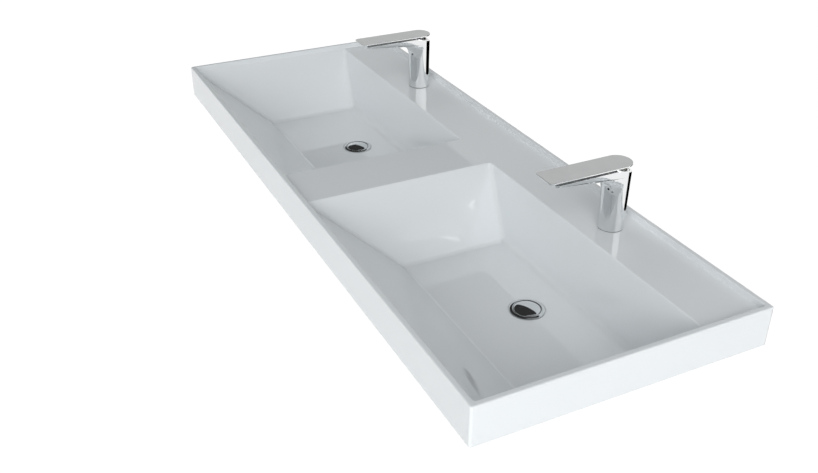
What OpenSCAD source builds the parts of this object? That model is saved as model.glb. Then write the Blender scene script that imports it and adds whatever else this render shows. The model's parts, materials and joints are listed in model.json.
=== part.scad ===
// Double washbasin: one cast slab with two bowls, two single lever taps and two push open wastes.
// Origin: centre of the flat rear face that goes against the wall. X runs along the basin,
// -Y points to the user and Z is up. All sizes are in millimetres.

/* [Slab] */
// Overall length of the basin
basin_w = 1300; // [1150:10:1500]
// Overall depth from the wall to the front
basin_d = 488; // [460:2:540]
// Height of the apron that shows all round
apron_h = 66; // [56:1:90]
// Thickness of the raised rim
rim_t = 9; // [8:0.5:14]
// How far the deck lies below the rim
deck_drop = 10.5; // [6:0.5:14]
// Thickness of the deck
deck_t = 14; // [10:1:18]
// Thickness of the apron wall below the deck
apron_t = 12; // [10:1:16]
// Rounding of the rim's outer top edge
edge_r = 2.5; // [1:0.5:4]
// Rounding of the slab's upright corners
corner_r = 4; // [2.5:0.5:8]
// Small bevel on the rim's inner top edge
rim_bevel = 1.5; // [0.5:0.5:2]

/* [Bowls] */
// Width of the flat plateau between the bowls
plateau_w = 114; // [90:2:160]
// Depth of the tap ledge, from the wall to the bowls
ledge_d = 113; // [104:1:130]
// Depth of the bowl floor below the rim
bowl_depth = 130; // [115:1:150]
// Length of the flat bowl floor
floor_w = 412; // [330:2:430]
// How far the rear bowl wall leans forward
rear_run = 15; // [8:1:30]
// How far the front bowl wall slopes in
front_run = 145; // [110:1:165]
// Radius where the floor meets the walls
bowl_r = 12; // [8:1:16]
// Radius of the bowl's corners at the deck
bowl_corner_r = 8; // [4:1:14]
// Thickness of the bowl shell
shell_t = 11; // [9:1:14]
// Narrow step left between the rim and the bowl
bowl_inset = 1; // [0.5:0.5:3]

/* [Wall fixing] */
// Distance between the two wall bolts behind each bowl
bolt_spacing = 280; // [220:10:320]
// Radius of a wall bolt hole
bolt_hole_r = 8; // [6:0.5:9]
// Width of the boss round a wall bolt
bolt_boss_w = 44; // [34:2:54]
// How far the boss stands in from the apron wall
bolt_boss_d = 18; // [10:1:24]

/* [Tap body] */
// Distance from the wall to the tap's centre line
tap_from_wall = 58; // [54:1:62]
// Radius of the tap hole in the deck
tap_hole_r = 17.5; // [16.5:0.25:18]
// Radius of the column where it stands on the deck
column_base_r = 21.5; // [21:0.25:22.5]
// Radius of the column's rounded head
head_r = 23; // [22.5:0.25:24]
// Height of the column above the deck
column_h = 111.8; // [108:0.2:120]
// Reach of the spout from the tap's centre line
spout_reach = 129; // [115:1:140]
// Thickness of the spout in its middle, at the tip
spout_tip_t = 8; // [7.5:0.5:10]
// Thickness of the spout's thin edge at the tip
spout_edge_t = 3; // [2:0.5:6]
// Thickness of the spout at the column
spout_root_t = 14; // [12:0.5:18]
// Radius of the tip's corners, seen from above
tip_r = 6; // [3:0.5:9]
// Reach of the arch that carries the spout
arch_reach = 44; // [38:1:48]
// Height of the arch
arch_h = 48; // [36:1:50]
// Angle of the sloping rear part of the column's top
rear_slope = 14; // [12:0.5:16]
// Where that slope starts, in front of the centre line
slope_lead = 17; // [14:0.5:20]
// Radius of the cartridge chamber
chamber_r = 18; // [17.9:0.1:18.4]
// Height of the chamber's floor above the deck
chamber_z = 60; // [56:0.5:62]
// Radius of the thread that the retaining nut screws into
nut_thread_r = 19.2; // [19:0.1:19.6]
// Radius of a hose inlet thread, M10
inlet_r = 5; // [4.5:0.25:5.5]
// Depth of a hose inlet thread
inlet_depth = 14; // [10:1:18]
// Distance of a hose inlet from the centre plane
inlet_x = 7.5; // [6.5:0.25:8.5]
// Distance of the hose inlets behind the centre line
inlet_y = 5; // [3:0.5:7]
// Radius of the water passages
port_r = 3; // [2:0.25:3.5]
// Radius of the set screw in the column's side
side_screw_r = 1.9; // [1.5:0.1:2.2]
// Height of the set screw above the deck
side_screw_z = 77; // [74:0.5:84]
// Direction of the set screw, turned from the front
side_screw_turn = 25; // [15:1:35]

/* [Lever] */
// Thickness of the lever blade
lever_t = 2.2; // [2:0.1:5]
// Gap between the lever and the column below it
lever_gap = 3.4; // [1.8:0.1:4]
// Reach of the lever from the tap's centre line
lever_reach = 141; // [120:1:145]
// Radius of the boss under the lever
boss_r = 7; // [6.5:0.25:7.5]
// Radius of the lever's grub screw
grub_r = 2; // [1.5:0.25:2]
// How far the lever lifts, in degrees
lever_lift = 20; // [15:1:20]

/* [Cartridge] */
// Depth of the stem's pivot below the lever
pivot_drop = 15.4; // [14:0.1:16]
// Distance of the pivot behind the centre line
pivot_back = 3; // [2:0.25:4]
// Radius of the pivot pin
pin_r = 2; // [1.5:0.1:2.2]
// Width of the stem
stem_w = 7.8; // [7:0.2:8]
// Thickness of the stem
stem_t = 6; // [5.5:0.25:6.5]
// Radius of the ball at the stem's lower end
ball_r = 2.9; // [2.5:0.1:3]
// Distance from the pivot down to the ball
ball_drop = 12; // [11.5:0.25:12.5]
// Radius of the turret's head
turret_r = 12.3; // [12:0.1:12.6]
// Cover of the turret above the pin
turret_cover = 1.2; // [1:0.1:1.4]
// Wall of the cartridge body
cartridge_wall = 2.4; // [2:0.1:2.6]
// Radius of the moving disc
disc_r = 11; // [10:0.25:11.5]
// Thickness of the fixed disc
disc_t = 3.5; // [3:0.25:4]
// Height of the retaining nut
cartridge_nut_h = 5.3; // [4.5:0.1:5.5]

/* [Aerator] */
// Radius of the aerator's recess in the spout
aerator_r = 9.5; // [8.5:0.25:10]
// Distance of the aerator from the spout's tip
aerator_back = 13; // [12.5:0.5:18]
// Wall of the aerator housing
aerator_wall = 2; // [1.5:0.25:2.5]
// Height of the aerator housing
aerator_h = 3.4; // [3:0.1:3.6]
// Wall of the spout round the aerator
spout_wall = 1.5; // [1:0.1:2]
// Free room above the aerator housing
aerator_room = 2.2; // [2:0.1:2.6]

/* [Deck fixing] */
// Thickness of the seal under the column
base_seal_t = 1; // [0.8:0.1:1.5]
// Radius of the fixing stud
stud_r = 4; // [3:0.25:4]
// Distance of the stud in front of the centre line
stud_y = 10; // [9.5:0.5:11]
// Length of the stud below the deck
stud_drop = 30; // [28:1:34]
// Radius of the horseshoe washers
horseshoe_r = 25; // [23:0.5:26]
// Width of the slot in the horseshoe washers
horseshoe_slot = 27; // [26:0.5:28]
// Thickness of the rubber horseshoe
rubber_t = 3; // [2:0.25:4]
// Thickness of the steel horseshoe
clamp_t = 2.5; // [2:0.25:3]
// Height of the stud's nut
stud_nut_h = 8; // [6:0.5:10]
// Radius of the stud's nut over its corners
stud_nut_r = 7.2; // [6.5:0.1:8]

/* [Waste] */
// Distance from the wall to the waste's centre line
waste_from_wall = 208; // [195:1:230]
// Radius of the waste hole in the bowl floor
waste_hole_r = 23; // [22:0.25:24]
// Radius of the waste's flange
flange_r = 29.5; // [28:0.5:32]
// Depth of the recess that takes the flange
flange_recess = 2; // [1.5:0.25:3]
// Height of the flange's crest above the floor
flange_crest = 1.9; // [1:0.1:2.2]
// Radius of the outlet thread, G 1 1/4
tail_r = 20.955; // [20.5:0.005:21.2]
// Radius of the bore through the waste
tail_bore_r = 17.6; // [16.5:0.1:18]
// Length of the waste below the bowl floor
tail_len = 82; // [74:1:100]
// Length of the thread that joins the flange to the tube
spigot_h = 8; // [6:0.5:10]
// Thickness of the gasket under the flange
flange_seal_t = 1; // [0.8:0.1:1.2]
// Thickness of the gasket under the bowl
gasket_t = 5; // [4:0.5:7]
// Height of the waste's nut
waste_nut_h = 10; // [8:0.5:13]
// Radius of the waste's nut over its corners
waste_nut_r = 32; // [30:0.5:34]

/* [Plug] */
// Radius of the domed plug
plug_r = 22.3; // [21:0.1:23]
// Height of the dome above the bowl floor
plug_crown = 4.4; // [3:0.1:6]
// Radius of the plug's spindle
spindle_r = 3.2; // [2.5:0.1:4]
// Travel of the plug when it pops up
plug_travel = 8; // [5:0.5:10]
// Length of the spindle that stays guided when the plug is up
spindle_guide = 11; // [8:0.5:11]
// Radius of the push mechanism's housing
housing_r = 8.5; // [7.5:0.25:9.5]
// Height of the three armed spider in the bore
spider_h = 6; // [4:0.5:8]
// Width of the step in the bore that carries the spider
spider_step = 0.8; // [0.5:0.1:1]

/* [Fits] */
// Radial clearance of a turning or sliding fit
run_gap = 0.05; // [0.02:0.01:0.1]
// Clearance between pieces that only lie close
slip_gap = 0.3; // [0.2:0.05:0.35]
// Clearance between pieces of one body that are screwed or pushed together
seat_gap = 0.1; // [0.05:0.01:0.15]

/* [Hidden] */
$fn = 64;
LEFT = -1;
RIGHT = 1;
SIDES = [LEFT, RIGHT];
// An overlap that makes a cut run cleanly past a face
over = 1;
// Sides of a circle inside a hull
hull_fn = 32;

// Slab levels
rim_z = apron_h / 2;
base_z = -apron_h / 2;
deck_z = rim_z - deck_drop;
floor_z = rim_z - bowl_depth;
deck_bottom_z = deck_z - deck_t;
bowl_h = deck_z - floor_z;

// Bowl outline at the deck and at the floor
bowl_in_x = plateau_w / 2;
bowl_out_x = basin_w / 2 - rim_t - bowl_inset;
bowl_x = (bowl_in_x + bowl_out_x) / 2;
bowl_rear_y = -ledge_d;
bowl_front_y = -(basin_d - rim_t - bowl_inset);
floor_rear_y = bowl_rear_y - rear_run;
floor_front_y = bowl_front_y + front_run;
side_run = (bowl_out_x - bowl_in_x - floor_w) / 2;

// Centre of a fillet ball, in from the crease between the floor and a leaning wall
function crease(run, r) = r / tan((180 - atan(bowl_h / run)) / 2);

// Tap levels above the deck
lever_z = column_h + lever_gap;
pivot_z = lever_z - pivot_drop;
turret_top_z = pivot_z + pin_r + turret_cover;
boss_bottom_z = turret_top_z + 3.4;
carrier_z = pivot_z - ball_drop;
moving_disc_z = carrier_z - 5.2;
fixed_disc_z = moving_disc_z - run_gap - disc_t;
turret_flange_z = carrier_z + ball_r + seat_gap;
turret_flange_t = 2;
cartridge_top_z = turret_flange_z + turret_flange_t + 3.1;
cartridge_r = chamber_r - slip_gap;
cartridge_bore_r = cartridge_r - cartridge_wall;
nut_z = cartridge_top_z + seat_gap;
dome_z = nut_z + cartridge_nut_h + seat_gap;
dome_bore_r = turret_r + 2.2;

// Spout underside, from the root to the tip
root_z = column_h - spout_root_t;
tip_z = column_h - spout_tip_t;
aerator_y = -(spout_reach - aerator_back);
blade_run = spout_reach - tip_r;
aerator_z = root_z + (tip_z - root_z) * (spout_reach - aerator_back) / blade_run + 0.2;
arch_start = 12;
arch_tip = arch_start + arch_reach;
arch_wide = arch_start + 0.4 * arch_reach;
arch_foot_half = sqrt(pow(column_base_r, 2) - pow(arch_start, 2));
arch_wide_half = head_r - 1;
arch_nose_half = aerator_r + 4.5;
arch_z = root_z + (tip_z - root_z) * arch_tip / blade_run + 0.2 - arch_h;

// Deck fixing levels
rubber_z = -deck_t - rubber_t;
clamp_z = rubber_z - clamp_t;

// Waste levels, from the bowl floor
gasket_z = -shell_t - gasket_t;
waste_nut_z = gasket_z - waste_nut_h;
relief_z = waste_nut_z - 2;
flange_under_z = -flange_recess + flange_seal_t;
throat_r = plug_r + 0.8;
seat_r = plug_r - 0.7;
neck_z = -6;
spigot_z = neck_z - spigot_h;
spigot_r = (tail_r + tail_bore_r) / 2 - seat_gap;
neck_r = (waste_hole_r + seat_r) / 2;
seal_z = -1.8;
plug_seal_t = 1.5;
housing_top_z = -9;
housing_h = 25;
spider_z = -30;

ceramic = [0.93, 0.95, 0.96];
chrome = [0.78, 0.8, 0.82];
brass = [0.8, 0.68, 0.4];
steel = [0.62, 0.64, 0.66];
rubber = [0.15, 0.15, 0.16];
plastic = [0.85, 0.86, 0.84];
disc_ceramic = [0.95, 0.93, 0.86];

module at_bowl(side) translate([side * bowl_x, 0, 0]) children();
module at_tap(side) translate([side * bowl_x, -tap_from_wall, deck_z]) children();
module at_waste(side) translate([side * bowl_x, -waste_from_wall, floor_z]) children();

// A flat ring that stands on z
module ring(outer, inner, z, h) {
  difference() {
    translate([0, 0, z]) cylinder(r = outer, h = h);
    translate([0, 0, z - over]) cylinder(r = inner, h = h + 2 * over);
  }
}

// A bore from z upwards
module bore(r, z, h) translate([0, 0, z]) cylinder(r = r, h = h);

// The four upright corners of a rectangle, to be hulled
module corner_posts(x0, x1, y0, y1, r, z, h) {
  for (x = [x0 + r, x1 - r], y = [y0 + r, y1 - r])
    translate([x, y, z]) cylinder(r = r, h = h, $fn = hull_fn);
}

// Slab with its outer top edge rounded in three steps
module slab_block() {
  hull() {
    for (a = [0, 30, 60, 90]) {
      inset = edge_r * (1 - cos(a));
      corner_posts(
        -basin_w / 2 + inset, basin_w / 2 - inset, -basin_d + inset, -inset,
        corner_r - inset, base_z, apron_h - edge_r * (1 - sin(a)));
    }
  }
}

// The shallow tray inside the rim, with a bevel at its mouth
module deck_tray() {
  in_x = basin_w / 2 - rim_t;
  tray_h = deck_drop - rim_bevel;
  hull() {
    corner_posts(-in_x, in_x, -basin_d + rim_t, -rim_t, corner_r, deck_z, tray_h);
    corner_posts(
      -in_x - rim_bevel, in_x + rim_bevel, -basin_d + rim_t - rim_bevel, -rim_t + rim_bevel,
      corner_r + rim_bevel, rim_z, over);
  }
}

// A ball whose poles are true, for the fillet between the floor and two walls
module fillet_ball(r) {
  rotate_extrude($fn = hull_fn) intersection() {
    circle(r = r, $fn = hull_fn);
    translate([0, -r]) square([r, 2 * r]);
  }
}

// Four walls that lean in from the deck to a filleted floor, grown outwards for the shell
module bowl_form(top_grow, low_grow) {
  r = bowl_r;
  hull() {
    corner_posts(
      bowl_in_x - bowl_x - top_grow, bowl_out_x - bowl_x + top_grow,
      bowl_front_y - top_grow, bowl_rear_y + top_grow,
      bowl_corner_r + top_grow, deck_z - low_grow / 2, over + low_grow / 4);
    for (x = [-1, 1], y = [
      floor_rear_y - crease(rear_run, r),
      floor_front_y + crease(front_run, r)
    ])
      translate([x * (floor_w / 2 - crease(side_run, r)), y, floor_z + r])
        fillet_ball(r + low_grow);
  }
}

// Apron, deck and rim, hollow underneath
module slab_shell() {
  under_h = deck_bottom_z - base_z + over;
  difference() {
    slab_block();
    translate([-basin_w / 2 + apron_t, -basin_d + apron_t, base_z - over])
      cube([basin_w - 2 * apron_t, basin_d - 2 * apron_t, under_h]);
  }
}

// Bosses behind the apron for the four wall bolts
module bolt_bosses() {
  for (side = SIDES, x = [-1, 1])
    translate([
      side * bowl_x + x * bolt_spacing / 2 - bolt_boss_w / 2,
      -apron_t - bolt_boss_d,
      -bolt_boss_w / 2
    ])
      cube([bolt_boss_w, bolt_boss_d + over, deck_bottom_z + bolt_boss_w / 2 + over]);
}

module bolt_holes() {
  for (side = SIDES, x = [-1, 1])
    translate([side * bowl_x + x * bolt_spacing / 2, over, 0])
      rotate([90, 0, 0]) cylinder(r = bolt_hole_r, h = apron_t + bolt_boss_d + 2 * over);
}

// Bowl shells, kept inside the slab's outline
module bowl_shells() {
  margin = rim_t / 4;
  intersection() {
    union() {
      for (side = SIDES)
        at_bowl(side) bowl_form(shell_t * 1.4, shell_t);
    }
    translate([-basin_w / 2 + margin, -basin_d + margin, floor_z - 2 * shell_t])
      cube([basin_w - 2 * margin, basin_d - 2 * margin, bowl_depth + 2 * shell_t]);
  }
}

module basin() {
  color(ceramic) difference() {
    union() {
      slab_shell();
      bowl_shells();
      bolt_bosses();
    }
    deck_tray();
    for (side = SIDES) {
      at_bowl(side) bowl_form(0, 0);
      at_tap(side) bore(tap_hole_r, -deck_t - over, deck_t + 2 * over);
      at_waste(side) bore(waste_hole_r, -shell_t - over, shell_t + 2 * over);
      at_waste(side) bore(flange_r + 1.5, -flange_recess, flange_recess + over);
    }
    bolt_holes();
  }
}

// Flat spout that grows out of the column's rounded head. Its edge is thin at the tip, and its
// underside swells like a boat's to hold the aerator
module spout_blade() {
  hull() {
    translate([0, 0, root_z]) cylinder(r = head_r, h = spout_root_t, $fn = 48);
    for (x = [-1, 1])
      translate([x * (head_r - tip_r), -spout_reach + tip_r, column_h - spout_edge_t])
        cylinder(r = tip_r, h = spout_edge_t, $fn = hull_fn);
    translate([0, aerator_y, tip_z]) cylinder(r = aerator_r + spout_wall, h = 1, $fn = hull_fn);
  }
}

// Hollow curve that carries the spout. Seen from above it leaves the column as wide as the spout
// and narrows to a nose
module spout_arch() {
  intersection() {
    rotate([90, 0, -90]) translate([0, 0, -head_r]) linear_extrude(2 * head_r) polygon(concat(
      [[0, arch_z], [arch_start, arch_z]],
      [for (a = [10:10:90]) [
        arch_tip - arch_reach * cos(a),
        arch_z + arch_h * sin(a)
      ]],
      [[arch_tip, column_h - 3], [0, column_h - 3]]));
    translate([0, 0, arch_z - over]) linear_extrude(column_h - arch_z) polygon([
      [-arch_foot_half, 0], [arch_foot_half, 0], [arch_foot_half, -arch_start],
      [arch_wide_half, -arch_wide], [arch_nose_half, -arch_tip - over],
      [-arch_nose_half, -arch_tip - over], [-arch_wide_half, -arch_wide], [-arch_foot_half, -arch_start]
    ]);
  }
}

// Sloping cut over the rear of the column's top, where the lever dips when it lifts
module rear_cut() {
  translate([0, -slope_lead, column_h]) rotate([-rear_slope, 0, 0])
    translate([-2 * head_r, 0, 0]) cube([4 * head_r, 4 * head_r, 3 * head_r]);
}

module side_screw_bore(r, depth) {
  translate([0, 0, side_screw_z]) rotate([0, 0, side_screw_turn]) rotate([90, 0, 0])
    translate([0, 0, depth]) cylinder(r = r, h = head_r);
}

// Water way from the chamber up a groove and through the spout to the aerator
module water_way() {
  rise_y = 48;
  groove_y = chamber_r + 1.8;
  groove_z = chamber_z + 2;
  start_y = chamber_r - 1;
  start_z = cartridge_top_z - 5;
  way_z = aerator_z + aerator_h + aerator_room - 4.2;
  angle = atan((rise_y - start_y) / (way_z - start_z));
  translate([-5, -groove_y, groove_z]) cube([10, groove_y - chamber_r + 3, start_z + 3 - groove_z]);
  translate([0, -start_y, start_z]) rotate([angle, 0, 0])
    cylinder(r = port_r, h = norm([rise_y - start_y, way_z - start_z]));
  translate([-6, aerator_y, way_z]) cube([12, -aerator_y - rise_y + 6, 4]);
}

module tap_body() {
  color(chrome) difference() {
    union() {
      translate([0, 0, base_seal_t])
        cylinder(r1 = column_base_r, r2 = head_r - 0.1, h = root_z - base_seal_t + over);
      spout_blade();
      spout_arch();
    }
    rear_cut();
    bore(chamber_r, chamber_z, column_h);
    bore(nut_thread_r, cartridge_top_z, column_h);
    for (x = [-1, 1]) translate([x * inlet_x, inlet_y, 0]) {
      bore(inlet_r, -over, inlet_depth + over + base_seal_t);
      bore(port_r, 0, chamber_z + over);
    }
    translate([0, -stud_y, 0]) bore(stud_r + seat_gap, -over, inlet_depth + over + base_seal_t);
    translate([0, aerator_y, 0]) bore(aerator_r, 0, aerator_z + aerator_h + aerator_room);
    water_way();
    side_screw_bore(side_screw_r + seat_gap, cartridge_r);
  }
}

module side_screws() {
  color(steel) for (side = SIDES) at_tap(side) intersection() {
    side_screw_bore(side_screw_r, chamber_r + seat_gap);
    difference() {
      cylinder(r = column_base_r - 0.2, h = column_h);
      side_screw_bore(side_screw_r * 0.55, column_base_r - 1.8);
    }
  }
}

// Thin flat blade over the whole tap, with a boss that grips the stem
module lever() {
  color(chrome) difference() {
    union() {
      hull() {
        translate([0, 0, lever_z]) cylinder(r = head_r, h = lever_t, $fn = 48);
        for (x = [-1, 1])
          translate([x * (head_r - tip_r - 1), -lever_reach + tip_r + 1, lever_z])
            cylinder(r = tip_r + 1, h = lever_t, $fn = hull_fn);
      }
      translate([0, pivot_back, boss_bottom_z])
        cylinder(r = boss_r, h = lever_z - boss_bottom_z + over);
    }
    translate([0, pivot_back, boss_bottom_z - over])
      linear_extrude(stem_top_z() - boss_bottom_z + over + seat_gap)
        square([stem_w + 2 * seat_gap, stem_t + 2 * seat_gap], center = true);
    translate([0, pivot_back, lever_screw_z()]) rotate([-90, 0, 0])
      cylinder(r = grub_r + seat_gap, h = boss_r + over);
  }
}

function stem_top_z() = lever_z + 0.6;
function lever_screw_z() = (boss_bottom_z + lever_z) / 2 + 0.1;

module lever_screw() {
  color(steel) translate([0, pivot_back, lever_screw_z()]) rotate([-90, 0, 0]) difference() {
    bore(grub_r, stem_t / 2 + seat_gap, boss_r - stem_t / 2 - 0.6);
    translate([0, 0, boss_r - 1.6]) cylinder(r = grub_r * 0.55, h = 3, $fn = 6);
  }
}

// Flat bar on the pivot pin, with a neck and a ball that moves the disc
module lever_stem() {
  bar_bottom_z = pivot_z - pin_r - 3.4;
  color(steel) translate([0, pivot_back, 0]) difference() {
    union() {
      translate([-stem_w / 2, -stem_t / 2, bar_bottom_z])
        cube([stem_w, stem_t, stem_top_z() - bar_bottom_z]);
      translate([0, 0, carrier_z]) cylinder(r = ball_r * 0.7, h = bar_bottom_z - carrier_z + over);
      translate([0, 0, carrier_z]) sphere(r = ball_r);
    }
    translate([-stem_w, 0, pivot_z]) rotate([0, 90, 0])
      cylinder(r = pin_r + run_gap, h = 2 * stem_w);
  }
}

module stem_pin() {
  half = sqrt(pow(turret_r, 2) - pow(pivot_back, 2)) - 1;
  color(steel) translate([-half, pivot_back, pivot_z]) rotate([0, 90, 0])
    cylinder(r = pin_r, h = 2 * half);
}

// Turning head that holds the pin, slotted for the stem
module cartridge_turret() {
  flange_r = cartridge_bore_r - slip_gap;
  rear_lean = (turret_top_z - pivot_z) * tan(lever_lift) + stem_t / 2 / cos(lever_lift);
  front_lean = (pivot_z - turret_flange_z) * tan(lever_lift) + stem_t / 2 / cos(lever_lift);
  color(plastic) difference() {
    union() {
      translate([0, 0, turret_flange_z]) cylinder(r = flange_r, h = turret_flange_t);
      translate([0, 0, turret_flange_z])
        cylinder(r = turret_r, h = turret_top_z - turret_flange_z);
    }
    translate([
      -stem_w / 2 - slip_gap / 2,
      pivot_back - front_lean - slip_gap,
      turret_flange_z - over
    ])
      cube([
        stem_w + slip_gap,
        rear_lean + front_lean + 2 * slip_gap,
        turret_top_z - turret_flange_z + 2 * over
      ]);
    translate([-2 * turret_r, pivot_back, pivot_z]) rotate([0, 90, 0])
      cylinder(r = pin_r + run_gap / 2, h = 4 * turret_r);
  }
}

// Sliding disc with a collar round the stem's ball
module moving_disc() {
  collar_h = turret_flange_z - run_gap - moving_disc_z;
  color(disc_ceramic) translate([0, pivot_back, 0]) difference() {
    union() {
      translate([0, 0, moving_disc_z]) cylinder(r = disc_r, h = carrier_z - ball_r - moving_disc_z);
      translate([0, 0, moving_disc_z]) cylinder(r = ball_r + 2.6, h = collar_h);
    }
    translate([0, 0, carrier_z - ball_r - slip_gap]) cylinder(r = ball_r + slip_gap, h = 4 * ball_r);
  }
}

// Fixed disc with two inlets and one outlet
module fixed_disc() {
  color(disc_ceramic) difference() {
    translate([0, 0, fixed_disc_z]) cylinder(r = cartridge_bore_r - slip_gap, h = disc_t);
    for (x = [-1, 1]) translate([x * inlet_x, inlet_y, 0])
      bore(port_r, fixed_disc_z - over, disc_t + 2 * over);
    translate([0, -stud_y + 1, 0]) bore(port_r, fixed_disc_z - over, disc_t + 2 * over);
  }
}

// Cup that holds the discs and the turret, with a lip over the turret's flange
module cartridge_body() {
  skirt_z = fixed_disc_z - 3;
  lip_z = turret_flange_z + turret_flange_t + run_gap;
  color(plastic) difference() {
    union() {
      translate([0, 0, chamber_z + seat_gap])
        cylinder(r = cartridge_bore_r, h = cartridge_top_z - chamber_z - seat_gap);
      translate([0, 0, skirt_z]) cylinder(r = cartridge_r, h = cartridge_top_z - skirt_z);
    }
    bore(cartridge_bore_r, fixed_disc_z, lip_z - fixed_disc_z);
    bore(turret_r + slip_gap, fixed_disc_z, column_h);
    for (x = [-1, 1]) translate([x * inlet_x, inlet_y, 0]) bore(port_r, chamber_z - over, column_h);
    translate([0, -stud_y + 1, 0]) {
      bore(port_r, chamber_z + 4, column_h);
      translate([0, 0, chamber_z + 4 + port_r]) rotate([90, 0, 0]) cylinder(r = port_r, h = chamber_r);
    }
  }
}

// Ring nut over the cartridge, notched for a pin spanner
module cartridge_nut() {
  color(brass) difference() {
    ring(nut_thread_r - seat_gap, turret_r + 0.9, nut_z, cartridge_nut_h);
    for (a = [0:90:270]) rotate([0, 0, a])
      translate([turret_r, -2, nut_z + cartridge_nut_h - 2]) cube([nut_thread_r, 4, 3]);
  }
}

// Cone shaped cover that shows in the gap below the lever
module trim_dome() {
  outer = nut_thread_r - seat_gap * 4;
  color(chrome) rotate_extrude() polygon([
    [dome_bore_r, dome_z], [outer, dome_z], [outer, dome_z + 1.5],
    [dome_bore_r + 1.4, dome_z + 4.6], [dome_bore_r, dome_z + 4.6]
  ]);
}

module aerator_housing() {
  color(chrome) translate([0, aerator_y, 0])
    ring(
      aerator_r - seat_gap, aerator_r - seat_gap - aerator_wall,
      aerator_z - 0.2, aerator_h);
}

// Perforated jet plate
module aerator_insert() {
  plate_r = aerator_r - aerator_wall - 2 * seat_gap;
  plate_z = aerator_z + 0.6;
  color(plastic) translate([0, aerator_y, 0]) difference() {
    translate([0, 0, plate_z]) cylinder(r = plate_r, h = aerator_h - 1.2);
    for (ring_i = [0, 1], a = [0:60 / (ring_i + 1):359])
      rotate([0, 0, a]) translate([plate_r * (0.4 + 0.35 * ring_i), 0, 0])
        bore(0.7, plate_z - over, aerator_h + over);
  }
}

module base_seal() {
  color(rubber) ring(column_base_r - 0.4, tap_hole_r + 0.6, 0, base_seal_t);
}

// Horseshoe with a slot for the hoses and a hole for the stud
module horseshoe(z, h) {
  difference() {
    translate([0, 0, z]) cylinder(r = horseshoe_r, h = h);
    translate([-horseshoe_slot / 2, -3.5, z - over])
      cube([horseshoe_slot, 2 * horseshoe_r, h + 2 * over]);
    translate([0, -stud_y, z - over]) cylinder(r = stud_r + slip_gap, h = h + 2 * over);
  }
}

module rubber_horseshoe() color(rubber) horseshoe(rubber_z, rubber_t);
module clamp_plate() color(steel) horseshoe(clamp_z, clamp_t);

module fixing_studs() {
  color(brass) for (side = SIDES) at_tap(side) translate([0, -stud_y, 0])
    bore(stud_r, -deck_t - stud_drop, deck_t + stud_drop + inlet_depth);
}

module stud_nuts() {
  color(brass) for (side = SIDES) at_tap(side) translate([0, -stud_y, clamp_z - stud_nut_h])
    difference() {
      cylinder(r = stud_nut_r, h = stud_nut_h, $fn = 6);
      bore(stud_r + seat_gap, -over, stud_nut_h + 2 * over);
    }
}

// Flange with the plug's cone shaped seat and a threaded spigot that screws into the tube
module waste_flange() {
  crest_r = throat_r + 1.5;
  rim_z = 0.1;
  lip_z = 0.9;
  seat_z = -1.2;
  color(chrome) rotate_extrude() polygon(concat(
    [[tail_bore_r, spigot_z], [spigot_r, spigot_z], [spigot_r, neck_z], [neck_r, neck_z]],
    [[neck_r, flange_under_z], [flange_r, flange_under_z]],
    [for (a = [0:15:90]) [
      crest_r + (flange_r - crest_r) * cos(a),
      rim_z + (flange_crest - rim_z) * sin(a)
    ]],
    [[throat_r, lip_z], [seat_r, seat_z], [tail_bore_r, neck_z]]));
}

// Threaded tube, with a relief groove below the nut and a step that carries the spider
module waste_body() {
  socket_r = spigot_r + seat_gap;
  color(chrome) rotate_extrude() polygon([
    [tail_bore_r - spider_step, -tail_len], [tail_r, -tail_len], [tail_r, relief_z - 2],
    [tail_r - 0.6, relief_z - 2], [tail_r - 0.6, relief_z], [tail_r, relief_z],
    [tail_r, neck_z], [socket_r, neck_z], [socket_r, spigot_z - seat_gap],
    [tail_bore_r, spigot_z - seat_gap], [tail_bore_r, spider_z],
    [tail_bore_r - spider_step, spider_z]
  ]);
}

// Wheel with three arms that rests on the step and holds the push housing
module waste_spider() {
  rim_r = tail_bore_r - seat_gap;
  color(brass) difference() {
    union() {
      bore(housing_r + 2.5, spider_z, spider_h);
      ring(rim_r, rim_r - 1.6, spider_z, spider_h);
      for (a = [90, 210, 330]) rotate([0, 0, a])
        translate([housing_r + 1, -2, spider_z]) cube([rim_r - housing_r - 1.8, 4, spider_h]);
    }
    bore(housing_r + seat_gap, spider_z - over, spider_h + 2 * over);
  }
}

// Domed cap, an arc from the crown to the edge
module plug_cap() {
  edge_z = 1.2;
  under_z = seal_z + plug_seal_t;
  color(chrome) rotate_extrude() polygon(concat(
    [[0, under_z], [plug_r - 1.6, under_z], [plug_r - 0.5, edge_z - 1]],
    [for (a = [0:6:48]) [plug_r * cos(a * 90 / 48), edge_z + (plug_crown - edge_z) * sin(a * 90 / 48)]]));
}

module plug_seal() color(rubber) ring(seat_r - 1.1, plug_r * 0.7, seal_z, plug_seal_t);

// Spindle from the plug down into the push housing
module plug_spindle() {
  foot_z = housing_top_z - plug_travel - spindle_guide;
  color(steel) bore(spindle_r, foot_z, seal_z + plug_seal_t - foot_z);
}

// Barrel of the push mechanism, closed below
module push_housing() {
  color(plastic) difference() {
    union() {
      bore(housing_r, housing_top_z - housing_h, housing_h);
      translate([0, 0, spider_z + spider_h]) cylinder(r = housing_r + 2, h = 3);
    }
    bore(spindle_r + run_gap, housing_top_z - housing_h + 3, housing_h);
  }
}

module flange_seal() color(rubber) ring(flange_r - 0.4, waste_hole_r + 0.4, -flange_recess, flange_seal_t);
module waste_gasket() color(rubber) ring(waste_hole_r + 8, tail_r + seat_gap * 3, gasket_z, gasket_t);

module waste_nut() {
  color(brass) difference() {
    translate([0, 0, waste_nut_z]) cylinder(r = waste_nut_r, h = waste_nut_h, $fn = 6);
    bore(tail_r + seat_gap, waste_nut_z - over, waste_nut_h + 2 * over);
  }
}

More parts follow.
